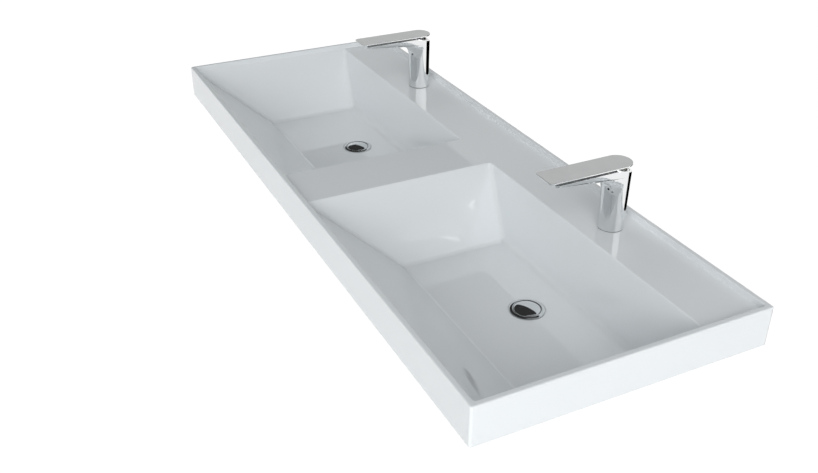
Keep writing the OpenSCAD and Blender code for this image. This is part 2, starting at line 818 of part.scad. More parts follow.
basin();
at_tap(LEFT) tap_body();  // tap_body_left
at_tap(RIGHT) tap_body();  // tap_body_right
at_tap(LEFT) lever();  // lever_left
at_tap(RIGHT) lever();  // lever_right
at_tap(LEFT) lever_screw();  // lever_screw_left
at_tap(RIGHT) lever_screw();  // lever_screw_right
at_tap(LEFT) lever_stem();  // lever_stem_left
at_tap(RIGHT) lever_stem();  // lever_stem_right
at_tap(LEFT) cartridge_body();  // cartridge_body_left
at_tap(RIGHT) cartridge_body();  // cartridge_body_right
at_tap(LEFT) cartridge_turret();  // cartridge_turret_left
at_tap(RIGHT) cartridge_turret();  // cartridge_turret_right
at_tap(LEFT) stem_pin();  // stem_pin_left
at_tap(RIGHT) stem_pin();  // stem_pin_right
at_tap(LEFT) moving_disc();  // moving_disc_left
at_tap(RIGHT) moving_disc();  // moving_disc_right
at_tap(LEFT) fixed_disc();  // fixed_disc_left
at_tap(RIGHT) fixed_disc();  // fixed_disc_right
at_tap(LEFT) cartridge_nut();  // cartridge_nut_left
at_tap(RIGHT) cartridge_nut();  // cartridge_nut_right
at_tap(LEFT) trim_dome();  // trim_dome_left
at_tap(RIGHT) trim_dome();  // trim_dome_right
at_tap(LEFT) aerator_housing();  // aerator_housing_left
at_tap(RIGHT) aerator_housing();  // aerator_housing_right
at_tap(LEFT) aerator_insert();  // aerator_insert_left
at_tap(RIGHT) aerator_insert();  // aerator_insert_right
at_tap(LEFT) base_seal();  // base_seal_left
at_tap(RIGHT) base_seal();  // base_seal_right
at_tap(LEFT) rubber_horseshoe();  // rubber_horseshoe_left
at_tap(RIGHT) rubber_horseshoe();  // rubber_horseshoe_right
at_tap(LEFT) clamp_plate();  // clamp_plate_left
at_tap(RIGHT) clamp_plate();  // clamp_plate_right
fixing_studs();
stud_nuts();
side_screws();
at_waste(LEFT) waste_flange();  // waste_flange_left
at_waste(RIGHT) waste_flange();  // waste_flange_right
at_waste(LEFT) waste_body();  // waste_body_left
at_waste(RIGHT) waste_body();  // waste_body_right
at_waste(LEFT) waste_spider();  // waste_spider_left
at_waste(RIGHT) waste_spider();  // waste_spider_right
at_waste(LEFT) plug_cap();  // plug_cap_left
at_waste(RIGHT) plug_cap();  // plug_cap_right
at_waste(LEFT) plug_seal();  // plug_seal_left
at_waste(RIGHT) plug_seal();  // plug_seal_right
at_waste(LEFT) plug_spindle();  // plug_spindle_left
at_waste(RIGHT) plug_spindle();  // plug_spindle_right
at_waste(LEFT) push_housing();  // push_housing_left
at_waste(RIGHT) push_housing();  // push_housing_right
at_waste(LEFT) flange_seal();  // flange_seal_left
at_waste(RIGHT) flange_seal();  // flange_seal_right
at_waste(LEFT) waste_gasket();  // waste_gasket_left
at_waste(RIGHT) waste_gasket();  // waste_gasket_right
at_waste(LEFT) waste_nut();  // waste_nut_left
at_waste(RIGHT) waste_nut();  // waste_nut_right
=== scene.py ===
# %% [markdown]
# # A double washbasin, dressed for the studio
# The solids of the basin, its two taps and its two wastes come from the CAD part. This lesson
# loads them as a fixed frame, builds smoother pieces over the ones that the eye rests on, and gives
# every piece a finish. Nothing is moved: a piece is made where the CAD part has it.

# %% Load the frame
import json
import math

import bmesh
import bpy
from mathutils import Matrix, Quaternion, Vector

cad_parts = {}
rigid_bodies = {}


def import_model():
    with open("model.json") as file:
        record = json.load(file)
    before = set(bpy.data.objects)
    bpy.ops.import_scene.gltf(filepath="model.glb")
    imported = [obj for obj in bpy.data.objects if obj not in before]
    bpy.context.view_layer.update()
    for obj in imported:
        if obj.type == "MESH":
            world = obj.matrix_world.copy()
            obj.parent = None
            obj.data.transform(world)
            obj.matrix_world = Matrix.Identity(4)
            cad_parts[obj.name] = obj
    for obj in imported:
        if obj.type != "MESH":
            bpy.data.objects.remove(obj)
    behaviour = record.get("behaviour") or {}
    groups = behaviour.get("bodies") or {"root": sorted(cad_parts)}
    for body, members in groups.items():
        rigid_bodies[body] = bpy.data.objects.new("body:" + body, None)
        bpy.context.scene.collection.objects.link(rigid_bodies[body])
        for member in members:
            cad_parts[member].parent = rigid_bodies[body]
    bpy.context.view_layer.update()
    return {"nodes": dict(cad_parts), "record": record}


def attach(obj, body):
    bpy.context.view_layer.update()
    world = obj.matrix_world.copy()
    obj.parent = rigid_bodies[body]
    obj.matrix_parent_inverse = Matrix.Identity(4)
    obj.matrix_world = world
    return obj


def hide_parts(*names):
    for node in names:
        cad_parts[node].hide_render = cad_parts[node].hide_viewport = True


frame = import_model()

# %% [markdown]
# ## Sizes
# Every size is in millimetres, as on the drawing, and one factor turns it into Blender's metres.
# The origin is the centre of the basin's wall face, halfway up the apron. The user stands on
# the -Y side, and +Z is up.

# %% Sizes in millimetres
MM = 0.001
BASIN_W, BASIN_D, APRON_H = 1300, 488, 66
RIM_T, DECK_DROP, DECK_T, APRON_T = 9, 10.5, 14, 12
RIM_Z = APRON_H / 2
DECK_Z = RIM_Z - DECK_DROP
BOWL_DEPTH, SHELL_T = 130, 11
FLOOR_Z = RIM_Z - BOWL_DEPTH
BOWL_X = 348.5
BOWL_IN_X, BOWL_OUT_X = 57, 640
BOWL_REAR_Y, BOWL_FRONT_Y = -113, -478
FLOOR_HALF_W = 206
FLOOR_REAR_Y, FLOOR_FRONT_Y = -128, -333
TAP_Y, WASTE_Y = -58, -208
COLUMN_H = 111.8
SIDES = (("left", -1), ("right", 1))
print("deck", DECK_Z, "bowl floor", FLOOR_Z)


def at(x, y, z):
    """A point given in millimetres."""
    return Vector((x, y, z)) * MM


# %% [markdown]
# ## The camera
# The photograph was taken from the front right and well above the rim. The camera's place was
# solved from the corners of the slab, so the picture and the part line up. It stays unshifted.

# %% Camera
CAMERA_AZIMUTH, CAMERA_ELEVATION, CAMERA_ROLL = 63.8, 30.4, 0.2
IMAGE_W, FOCAL_PIXELS, SENSOR_W = 818, 937.6, 36
camera_data = bpy.data.cameras.new("photo_camera")
camera_data.sensor_width = SENSOR_W
camera_data.lens = FOCAL_PIXELS / IMAGE_W * SENSOR_W
camera_data.clip_start, camera_data.clip_end = 0.05, 60
camera = bpy.data.objects.new("photo_camera", camera_data)
bpy.context.scene.collection.objects.link(camera)
bpy.context.scene.camera = camera
bpy.context.scene.view_settings.view_transform = "Standard"
azimuth, elevation = math.radians(CAMERA_AZIMUTH), math.radians(CAMERA_ELEVATION)
back = Vector((
    math.sin(azimuth) * math.cos(elevation),
    -math.cos(azimuth) * math.cos(elevation),
    math.sin(elevation),
))
camera.location = at(1396, -939, 781)
camera.rotation_mode = "QUATERNION"
camera.rotation_quaternion = (-back).to_track_quat("-Z", "Y") @ Quaternion(
    (0, 0, 1), math.radians(CAMERA_ROLL)
)
print("lens", round(camera_data.lens, 2), "mm")

# %% [markdown]
# ## Helpers for meshes
# Each piece is one bmesh that becomes one object at the origin. A modifier is settled, which
# means that its result becomes the mesh, so that the piece's own mesh is the one that shows.

# %% Helpers for meshes


def new_object(name, bm):
    """Turns a bmesh into an object at the origin."""
    mesh = bpy.data.meshes.new(name)
    bm.to_mesh(mesh)
    bm.free()
    piece = bpy.data.objects.new(name, mesh)
    bpy.context.scene.collection.objects.link(piece)
    return piece


def settle(piece):
    """Makes the modifiers' result the piece's own mesh."""
    depsgraph = bpy.context.evaluated_depsgraph_get()
    mesh = bpy.data.meshes.new_from_object(piece.evaluated_get(depsgraph))
    piece.modifiers.clear()
    piece.data = mesh
    mesh.name = piece.name


def combine(piece, tool_bm, operation="DIFFERENCE"):
    """Cuts a tool's shape out of a piece, or joins it on."""
    tool = new_object("tool", tool_bm)
    step = piece.modifiers.new("combine", "BOOLEAN")
    step.operation, step.solver, step.object = operation, "EXACT", tool
    settle(piece)
    bpy.data.objects.remove(tool)


def soften(piece, angle=32):
    """Shades a piece smooth, but keeps its sharp edges, and lets the big faces set the normals."""
    for face in piece.data.polygons:
        face.use_smooth = True
    piece.data.set_sharp_from_angle(angle=math.radians(angle))
    step = piece.modifiers.new("normals", "WEIGHTED_NORMAL")
    step.keep_sharp, step.weight = True, 80
    settle(piece)


def round_edges(piece, width, segments=3, angle=35):
    """Breaks every sharp edge of a piece by a small radius."""
    step = piece.modifiers.new("edges", "BEVEL")
    step.width, step.segments = width * MM, segments
    step.limit_method, step.angle_limit = "ANGLE", math.radians(angle)
    step.miter_outer = "MITER_ARC"
    settle(piece)


def rod(bm, centre, radius, low, high, segments=64, axis="Z"):
    """A closed round bar from low to high along an axis through centre, in millimetres."""
    made = bmesh.ops.create_cone(
        bm, cap_ends=True, segments=segments, radius1=radius * MM, radius2=radius * MM,
        depth=(high - low) * MM)["verts"]
    turn = Matrix.Rotation(math.radians(90), 4, "X") if axis == "Y" else Matrix.Identity(4)
    middle = (low + high) / 2
    offset = at(0, middle, 0) if axis == "Y" else at(0, 0, middle)
    bmesh.ops.transform(bm, matrix=Matrix.Translation(at(*centre) + offset) @ turn, verts=made)
    return made


def block(bm, low, high):
    """A closed box between two corners, in millimetres."""
    made = bmesh.ops.create_cube(bm, size=1)["verts"]
    low, high = at(*low), at(*high)
    bmesh.ops.scale(bm, vec=high - low, verts=made)
    bmesh.ops.translate(bm, vec=(low + high) / 2, verts=made)
    return made


def lathe(profile, centre, segments=128):
    """Spins a closed profile of (radius, height) points once round an upright axis."""
    bm = bmesh.new()
    points = [bm.verts.new(at(radius, 0, height)) for radius, height in profile]
    edges = [bm.edges.new((a, b)) for a, b in zip(points, points[1:] + points[:1])]
    bmesh.ops.spin(
        bm, geom=points + edges, cent=(0, 0, 0), axis=(0, 0, 1), angle=math.tau,
        steps=segments, use_merge=True)
    bmesh.ops.remove_doubles(bm, verts=bm.verts, dist=1e-7)
    bmesh.ops.dissolve_degenerate(bm, edges=bm.edges, dist=1e-7)
    bmesh.ops.recalc_face_normals(bm, faces=bm.faces)
    bmesh.ops.translate(bm, vec=at(*centre), verts=bm.verts)
    return bm


# %% [markdown]
# ## Helpers for finishes
# A finish is a small node tree on the piece's own Object coordinates, in metres. Noise drives tiny
# changes of roughness and a very low relief, so that a reflection is never ruler straight, and
# the colour drifts a little, as it does in a glaze or in cast metal.

# %% Helpers for finishes


def finish(name, colour, roughness, metallic=0.0, **sockets):
    """A material with one Principled shader. Returns it with its nodes, links and shader."""
    material = bpy.data.materials.new(name)
    material.use_nodes = True
    nodes, links = material.node_tree.nodes, material.node_tree.links
    shader = nodes["Principled BSDF"]
    shader.inputs["Base Color"].default_value = (*colour, 1)
    shader.inputs["Roughness"].default_value = roughness
    shader.inputs["Metallic"].default_value = metallic
    for socket, value in sockets.items():
        shader.inputs[socket.replace("_", " ")].default_value = value
    return material, nodes, links, shader


def place(nodes, links, stretch=(1, 1, 1)):
    """The piece's Object coordinates, stretched along its axes."""
    coordinates = nodes.new("ShaderNodeTexCoord")
    mapping = nodes.new("ShaderNodeMapping")
    mapping.inputs["Scale"].default_value = stretch
    links.new(coordinates.outputs["Object"], mapping.inputs["Vector"])
    return mapping.outputs["Vector"]


def noise(nodes, links, vector, scale, detail=3.0):
    """A noise with features of 1 / scale metres."""
    texture = nodes.new("ShaderNodeTexNoise")
    texture.inputs["Scale"].default_value = scale
    texture.inputs["Detail"].default_value = detail
    links.new(vector, texture.inputs["Vector"])
    return texture.outputs["Fac"]


def span(nodes, links, value, low, high):
    """Maps a noise's middle range to a range of values."""
    step = nodes.new("ShaderNodeMapRange")
    step.inputs["From Min"].default_value, step.inputs["From Max"].default_value = 0.3, 0.7
    step.inputs["To Min"].default_value, step.inputs["To Max"].default_value = low, high
    links.new(value, step.inputs["Value"])
    return step.outputs["Result"]


def tint(nodes, links, value, dark, light):
    """Mixes two colours by a noise."""
    mix = nodes.new("ShaderNodeMix")
    mix.data_type = "RGBA"
    mix.inputs["A"].default_value, mix.inputs["B"].default_value = (*dark, 1), (*light, 1)
    links.new(span(nodes, links, value, 0, 1), mix.inputs["Factor"])
    return mix.outputs["Result"]


def relief(nodes, links, shader, heights):
    """Chains bumps onto a shader. heights holds (value, strength, distance in metres)."""
    before = None
    for value, strength, distance in heights:
        bump = nodes.new("ShaderNodeBump")
        bump.inputs["Strength"].default_value = strength
        bump.inputs["Distance"].default_value = distance
        links.new(value, bump.inputs["Height"])
        if before:
            links.new(before, bump.inputs["Normal"])
        before = bump.outputs["Normal"]
    links.new(before, shader.inputs["Normal"])


# %% [markdown]
# ## Glazed ceramic
# The basin is vitreous china under a clear, hard glaze. The glaze is nearly a mirror at a low
# angle, a little cool in colour, and it pools: wide, shallow waves bend reflections, and a fine
# orange peel softens them.

# %% Glazed ceramic
CHINA, CHINA_COOL = (0.87, 0.9, 0.915), (0.86, 0.893, 0.908)
glaze, nodes, links, shader = finish("glazed_china", CHINA, 0.06, IOR=1.52)
vector = place(nodes, links)
clouds, smears = noise(nodes, links, vector, 6), noise(nodes, links, vector, 25)
links.new(tint(nodes, links, clouds, CHINA_COOL, CHINA), shader.inputs["Base Color"])
links.new(span(nodes, links, smears, 0.012, 0.035), shader.inputs["Roughness"])
relief(nodes, links, shader, [
    (noise(nodes, links, vector, 9, 1), 0.25, 0.0002),
    (noise(nodes, links, vector, 700, 2), 0.05, 0.00004),
])
print(glaze.name, "has", len(nodes), "nodes")

# %% [markdown]
# ## Chrome
# The taps, levers, plugs and flanges are polished brass with bright chrome. Chrome is a neutral
# mirror. Handling leaves hair fine scratches and faint smears, which only the roughness shows. The
# spout's flat top, which the lever hides, is only ground and not buffed, so it is duller.

# %% Chrome
HIDDEN_TOP_Z, HIDDEN_TOP_REACH = DECK_Z + COLUMN_H, 0.05
chrome, nodes, links, shader = finish("chrome_plate", (0.86, 0.875, 0.88), 0.05, metallic=1.0)
vector = place(nodes, links)
coordinates = nodes.new("ShaderNodeTexCoord")
links.new(
    tint(nodes, links, noise(nodes, links, vector, 30), (0.83, 0.845, 0.85), (0.88, 0.89, 0.895)),
    shader.inputs["Base Color"])
polish = span(nodes, links, noise(nodes, links, vector, 90, 5), 0.03, 0.075)
split_axes = nodes.new("ShaderNodeSeparateXYZ")
links.new(coordinates.outputs["Object"], split_axes.inputs[0])
hidden_top = nodes.new("ShaderNodeMath")
hidden_top.operation = "COMPARE"
hidden_top.inputs[1].default_value = HIDDEN_TOP_Z * MM
hidden_top.inputs[2].default_value = HIDDEN_TOP_REACH * MM
links.new(split_axes.outputs["Z"], hidden_top.inputs[0])
dull = nodes.new("ShaderNodeMath")
dull.operation = "MULTIPLY_ADD"
dull.inputs[1].default_value = 0.4
links.new(hidden_top.outputs[0], dull.inputs[0])
links.new(polish, dull.inputs[2])
links.new(dull.outputs[0], shader.inputs["Roughness"])
relief(nodes, links, shader, [
    (noise(nodes, links, vector, 60, 1), 0.12, 0.00012),
    (noise(nodes, links, place(nodes, links, (1, 0.06, 1)), 2500, 2), 0.04, 0.00002),
])
print(chrome.name, "has", len(nodes), "nodes, and is dull at z", round(HIDDEN_TOP_Z, 1))

# %% [markdown]
# ## The other finishes
# Under the deck there is plain brass, zinc plated steel, black rubber and matte plastic, and inside
# each cartridge two ground ceramic discs. Turned metal gets rings from the tool, brushed
# steel gets lines along its length, and rubber gets the dull grain of its mould.

# %% The other finishes


def hidden_finish(name, dark, light, rough, metallic, stretch, scale, depth):
    """A finish with a colour drift, a roughness drift and one relief."""
    material, nodes, links, shader = finish(name, light, rough[0], metallic)
    vector = place(nodes, links, stretch)
    plain = place(nodes, links)
    clouds, lines = noise(nodes, links, plain, 40), noise(nodes, links, vector, scale, 4)
    links.new(tint(nodes, links, clouds, dark, light), shader.inputs["Base Color"])
    links.new(span(nodes, links, lines, *rough), shader.inputs["Roughness"])
    relief(nodes, links, shader, [(noise(nodes, links, vector, scale, 3), 0.3, depth)])
    return material


brass = hidden_finish(
    "turned_brass", (0.62, 0.44, 0.20), (0.75, 0.57, 0.29), (0.22, 0.38), 1.0,
    (0.05, 0.05, 1), 2200, 0.00004)
steel = hidden_finish(
    "plated_steel", (0.50, 0.51, 0.52), (0.62, 0.63, 0.64), (0.24, 0.42), 1.0,
    (1, 0.05, 1), 1800, 0.00003)
rubber = hidden_finish(
    "black_rubber", (0.018, 0.018, 0.02), (0.035, 0.035, 0.037), (0.55, 0.75), 0.0,
    (1, 1, 1), 1500, 0.00008)
plastic = hidden_finish(
    "moulded_plastic", (0.60, 0.61, 0.60), (0.70, 0.71, 0.70), (0.35, 0.5), 0.0,
    (1, 1, 1), 1200, 0.00005)
disc_finish = hidden_finish(
    "ground_ceramic", (0.80, 0.77, 0.70), (0.88, 0.86, 0.80), (0.12, 0.25), 0.0,
    (1, 1, 1), 3000, 0.00001)
FINISHES = {
    "ceramic": glaze, "chrome": chrome, "brass": brass, "steel": steel, "rubber": rubber,
    "plastic": plastic, "disc_ceramic": disc_finish,
}
black_oxide = hidden_finish(
    "black_oxide", (0.03, 0.03, 0.032), (0.06, 0.06, 0.062), (0.3, 0.45), 1.0,
    (1, 1, 1), 1800, 0.00002)
dressed = 0
for subpart in frame["record"]["subparts"]:
    screw = subpart["node"].endswith("screws") or "lever_screw" in subpart["node"]
    for material_slot in frame["nodes"][subpart["node"]].material_slots:
        material_slot.material = black_oxide if screw else FINISHES[subpart["material_slot"]]
        dressed += 1
print("finishes on", dressed, "CAD nodes")


def dress(piece, body, slot_name, *stands_for):
    """Gives a new piece its finish and its body, and hides the CAD nodes that it stands for."""
    piece.data.materials.clear()
    piece.data.materials.append(FINISHES[slot_name])
    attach(piece, body)
    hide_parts(*stands_for)
    print(piece.name, len(piece.data.polygons), "faces")


# %% [markdown]
# ## The basin
# A real basin of this kind is slip cast: a flat slab with a thin raised rim, and two bowls whose
# four walls lean at four different angles. The tap ledge and the strip between the bowls stay
# flat. It could be cut from solids, but then every soft crease would have to be cut too. Here the
# top of a box is divided where the bowls begin, pushed down twice, and each edge then
# gets its own radius from a bevel weight, as a plaster mould would be eased by hand.

# %% The basin's top
OUTER_R, CORNER_R, RIM_R, FILLET_R, LIP_R, CREASE_R, FLOOR_R = 2.5, 4, 1.5, 1.8, 2.5, 9, 12
RIM_X, RIM_FRONT_Y, RIM_REAR_Y = BASIN_W / 2 - RIM_T, -(BASIN_D - RIM_T), -RIM_T
APRON_R, HIDDEN_R, WIDEST = 1.2, 2, 34
bm = bmesh.new()
block(bm, (-BASIN_W / 2, -BASIN_D, -RIM_Z), (BASIN_W / 2, 0, RIM_Z))


def split(bm, faces, axis, places):
    """Divides flat faces along straight lines at the given places on an axis."""
    normal = Vector((axis == "X", axis == "Y", 0))
    for spot in places:
        faces = [f for f in faces if f.is_valid]
        geometry = set(faces)
        for face in faces:
            geometry.update(face.edges, face.verts)
        cut = bmesh.ops.bisect_plane(
            bm, geom=list(geometry), plane_co=normal * spot * MM, plane_no=normal, dist=1e-6)
        faces = [g for g in cut["geom"] if isinstance(g, bmesh.types.BMFace)]
    return faces


def facing(bm, up):
    """The faces that look up or down."""
    bm.normal_update()
    return [f for f in bm.faces if f.normal.z * up > 0.99]


def within(faces, x0, x1, y0, y1):
    """Those faces whose middle lies in a rectangle, in millimetres."""
    middles = [(f, f.calc_center_median() / MM) for f in faces if f.is_valid]
    return [f for f, middle in middles if x0 < middle.x < x1 and y0 < middle.y < y1]


def push(bm, faces, depth):
    """Extrudes faces as one region and moves them down. Returns the new floor's vertices."""
    made = bmesh.ops.extrude_face_region(bm, geom=faces)["geom"]
    bmesh.ops.delete(bm, geom=[f for f in faces if f.is_valid], context="FACES_ONLY")
    verts = [g for g in made if isinstance(g, bmesh.types.BMVert)]
    bmesh.ops.translate(bm, vec=at(0, 0, -depth), verts=verts)
    return verts


top = facing(bm, 1)
top = split(bm, top, "X", (-RIM_X, RIM_X))
top = split(bm, within(facing(bm, 1), -RIM_X, RIM_X, -BASIN_D, 0), "Y", (RIM_FRONT_Y, RIM_REAR_Y))
tray = within(facing(bm, 1), -RIM_X, RIM_X, RIM_FRONT_Y, RIM_REAR_Y)
push(bm, tray, DECK_DROP)
deck = [f for f in facing(bm, 1) if abs(f.calc_center_median().z - DECK_Z * MM) < 1e-5]
deck = split(bm, deck, "Y", (BOWL_REAR_Y,))
deck = within(deck, -RIM_X, RIM_X, RIM_FRONT_Y, BOWL_REAR_Y)
deck = split(bm, deck, "X", (-BOWL_IN_X, BOWL_IN_X))
for name, side in SIDES:
    near, far = sorted((side * BOWL_IN_X, side * RIM_X))
    mouth = within(deck, near, far, RIM_FRONT_Y, BOWL_REAR_Y)
    for vert in push(bm, mouth, 0):
        inner = abs(vert.co.x) < (BOWL_IN_X + 1) * MM
        rear = vert.co.y > (BOWL_REAR_Y - 1) * MM
        x = BOWL_X - FLOOR_HALF_W if inner else BOWL_X + FLOOR_HALF_W
        vert.co = at(side * x, FLOOR_REAR_Y if rear else FLOOR_FRONT_Y, FLOOR_Z)
bmesh.ops.remove_doubles(bm, verts=bm.verts, dist=1e-6)
print("top:", len(bm.faces), "faces before its edges are eased")

# %% [markdown]
# ## The basin's underside
# From below, the apron is a thin skirt round a hollow, and the bowls hang down as shells about as
# thick as the apron. The same three steps make it: inset the bottom, push it up to the deck's
# underside, and let the two shells grow down from there.

# %% The basin's underside
SHELL_IN_X, SHELL_REAR_Y, SHELL_BOTTOM_Z = BOWL_IN_X - 14, BOWL_REAR_Y + 10, FLOOR_Z - SHELL_T
SHELL_SIDE, SHELL_REAR, SHELL_FRONT = 6, 10, 4
bmesh.ops.inset_region(
    bm, faces=facing(bm, -1), thickness=APRON_T * MM, use_boundary=True, use_even_offset=True)
ceiling = [f for f in facing(bm, -1) if abs(f.calc_center_median().x) < 0.1 and f.calc_area() > 0.2]
push(bm, ceiling, -(DECK_Z - DECK_T + RIM_Z))
ceiling = [f for f in facing(bm, -1) if f.calc_center_median().z > 0]
ceiling = split(bm, ceiling, "Y", (SHELL_REAR_Y,))
ceiling = within(ceiling, -BASIN_W, BASIN_W, -BASIN_D, SHELL_REAR_Y)
ceiling = split(bm, ceiling, "X", (-SHELL_IN_X, SHELL_IN_X))
for name, side in SIDES:
    near, far = sorted((side * SHELL_IN_X, side * BASIN_W / 2))
    region = within(ceiling, near, far, -BASIN_D, SHELL_REAR_Y)
    for vert in push(bm, region, 0):
        inner = abs(vert.co.x) < (SHELL_IN_X + 1) * MM
        rear = vert.co.y > (SHELL_REAR_Y - 1) * MM
        x = BOWL_X + (FLOOR_HALF_W + SHELL_SIDE) * (-1 if inner else 1)
        y = FLOOR_REAR_Y + SHELL_REAR if rear else FLOOR_FRONT_Y - SHELL_FRONT
        vert.co = at(side * x, y, SHELL_BOTTOM_Z)
bmesh.ops.remove_doubles(bm, verts=bm.verts, dist=1e-6)
bmesh.ops.recalc_face_normals(bm, faces=bm.faces)
print("basin:", len(bm.faces), "faces,", sum(not e.is_manifold for e in bm.edges), "open edges")

# %% [markdown]
# ## One radius for each edge
# The rim's outside edge is crisp, the lip between the deck and a bowl a little softer, and the
# creases in the bowls are wide, so that a cloth reaches into them. A weight on each edge says how
# much of the bevel's full width it takes. The width is counted along the faces, so a flat
# angle needs a small weight for a large radius.

# %% One radius for each edge
NEAR, LEANING_RISE, FLAT_ANGLE = 0.1, 50, 0.05
weights = bm.edges.layers.float.new("bevel_weight_edge")


def ease(edge, radius):
    """Weighs an edge so that its bevel has this radius."""
    between = math.pi - edge.calc_face_angle(0)
    edge[weights] = min(1, radius / math.tan(between / 2) / WIDEST)


def edge_radius(a, b):
    """The radius of the edge between two corners, by where it lies."""
    z = (a.z + b.z) / 2
    outside = (
        max(abs(a.x), abs(b.x)) > BASIN_W / 2 - NEAR
        or min(a.y, b.y) < -BASIN_D + NEAR or max(a.y, b.y) > -NEAR)
    leaning = abs(a.z - b.z) > LEANING_RISE
    at_rear = max(abs(a.y - BOWL_REAR_Y), abs(b.y - BOWL_REAR_Y)) < NEAR
    at_middle = abs(a.x - b.x) < NEAR and abs(abs(a.x) - BOWL_IN_X) < NEAR
    if abs(a.x - b.x) < NEAR and abs(a.y - b.y) < NEAR:
        return CORNER_R
    if outside:
        return OUTER_R if abs(z - RIM_Z) < NEAR else APRON_R
    if abs(z - RIM_Z) < NEAR:
        return RIM_R
    if min(a.z, b.z) < SHELL_BOTTOM_Z + NEAR:
        return FLOOR_R + (0 if leaning else SHELL_T / 2)
    if abs(z - FLOOR_Z) < NEAR:
        return FLOOR_R
    if leaning:
        return CREASE_R
    if abs(z - DECK_Z) < NEAR:
        return LIP_R if at_rear or at_middle else FILLET_R
    return HIDDEN_R


for edge in bm.edges:
    if edge.calc_face_angle(0) > FLAT_ANGLE:
        ease(edge, edge_radius(*(vert.co / MM for vert in edge.verts)))
basin = new_object("basin_china", bm)
step = basin.modifiers.new("eased", "BEVEL")
step.limit_method, step.width, step.segments = "WEIGHT", WIDEST * MM, 5
step.use_clamp_overlap, step.miter_outer = False, "MITER_ARC"
settle(basin)
print("basin:", len(basin.data.polygons), "faces after its edges are eased")

# %% [markdown]
# ## Holes and bosses
# The tap holes, the waste holes with their shallow seats and the bolt holes are drilled last,
# as a potter cuts them into the leather hard clay. Two bosses behind each bowl carry the bolts.

# %% Holes and bosses
BOLT_X, BOLT_R, BOSS_HALF_W, BOSS_T = 140, 8, 22, 18
TAP_HOLE_R, WASTE_HOLE_R, SEAT_RECESS_R, SEAT_RECESS, OVER = 17.5, 23, 31, 2, 5
bm = bmesh.new()
for name, side in SIDES:
    for end in (-1, 1):
        x = side * BOWL_X + end * BOLT_X
        block(
            bm, (x - BOSS_HALF_W, -APRON_T - BOSS_T, -BOSS_HALF_W),
            (x + BOSS_HALF_W, -APRON_T + 2, DECK_Z - DECK_T + 2))
combine(basin, bm, "UNION")
bm = bmesh.new()
for name, side in SIDES:
    rod(bm, (side * BOWL_X, TAP_Y, 0), TAP_HOLE_R, DECK_Z - DECK_T - OVER, DECK_Z + OVER)
    rod(bm, (side * BOWL_X, WASTE_Y, 0), WASTE_HOLE_R, SHELL_BOTTOM_Z - OVER, FLOOR_Z + OVER, 96)
    for end in (-1, 1):
        x = side * BOWL_X + end * BOLT_X
        rod(bm, (x, 0, 0), BOLT_R, -APRON_T - BOSS_T - OVER - 2, OVER, axis="Y")
combine(basin, bm)
bm = bmesh.new()
for name, side in SIDES:
    rod(bm, (side * BOWL_X, WASTE_Y, 0), SEAT_RECESS_R, FLOOR_Z - SEAT_RECESS, FLOOR_Z + OVER, 96)
combine(basin, bm)
soften(basin, 40)
dress(basin, "basin", "ceramic", "basin")

# %% [markdown]
# ## A ring that wraps round discs
# The tap's body is a column whose head runs out into a flat spout. From above, every level of it
# is the outline of a belt round two or three discs. So one ring of points is made, each point
# keeps the direction that it looks in, and on every level it moves to the disc that reaches
# furthest that way. The two long sides get points of their own, which keep a share of the spout's
# length. The levels have the same points, so the skin between them is clean quads.

# %% A ring that wraps round discs
RING_POINTS, SIDE_POINTS = 120, 25
FIRST_WAY = math.tau / RING_POINTS


def belt(discs, direction):
    """The point of a belt round discs (x, y, radius) that looks in a direction."""
    out = Vector((math.cos(direction), math.sin(direction)))
    x, y, radius = max(discs, key=lambda d: d[0] * out.x + d[1] * out.y + d[2])
    return x + radius * out.x, y + radius * out.y


def belt_ring(bm, side_points):
    """A ring of points. Two layers keep each one's direction and its share of a long side."""
    way, share = (bm.verts.layers.float.new(name) for name in ("way", "share"))
    ring = bmesh.ops.create_circle(bm, cap_ends=False, radius=1, segments=RING_POINTS)["verts"]
    for vert in ring:
        vert[way] = math.atan2(vert.co.y, vert.co.x)
    low = -1.5 * math.sin(FIRST_WAY)
    if side_points:
        long_edges = [e for e in bm.edges if all(low < v.co.y < 1e-4 for v in e.verts)]
        made = bmesh.ops.subdivide_edges(bm, edges=long_edges, cuts=side_points)["geom_inner"]
        for vert in [g for g in made if isinstance(g, bmesh.types.BMVert)]:
            vert[share] = -vert.co.y / math.sin(FIRST_WAY)
            vert[way] = 0 if vert.co.x > 0 else math.pi
    return way, share, bm.verts[:], bm.edges[:]


def wrap(bm, levels, side_points=0):
    """A closed skin over levels. A level is a function of a way and a share that gives a point."""
    way, share, ring, edges = belt_ring(bm, side_points)
    for number, level in enumerate(levels):
        if number:
            made = bmesh.ops.extrude_edge_only(bm, edges=edges)["geom"]
            ring = [g for g in made if isinstance(g, bmesh.types.BMVert)]
            made_edges = [g for g in made if isinstance(g, bmesh.types.BMEdge)]
            edges = [e for e in made_edges if all(v in ring for v in e.verts)]
        for vert in ring:
            vert.co = at(*level(vert[way], vert[share]))
        if number in (0, len(levels) - 1):
            bmesh.ops.edgeloop_fill(bm, edges=edges)
    bmesh.ops.remove_doubles(bm, verts=bm.verts, dist=2e-6)
    bmesh.ops.dissolve_degenerate(bm, edges=bm.edges, dist=2e-6)
    bmesh.ops.recalc_face_normals(bm, faces=bm.faces)


def flat_level(discs, z):
    """A level belt at one height."""
    return lambda way, share: (*belt(discs, way), z)


print("ring:", RING_POINTS, "points and", 2 * SIDE_POINTS, "more on the long sides")


# %% [markdown]
# ## Tap body
# The body is one casting: a column that widens a little upwards, a hollow curve that springs from
# its front, and a flat spout with thin edges and an underside like a boat's. The sides lean in
# below the top, more so towards the tip, so that they mirror the basin and not the white
# room. At the back the top slopes down, which leaves room for the lever to dip when it lifts. The
# machined places come last, in a step of their own.

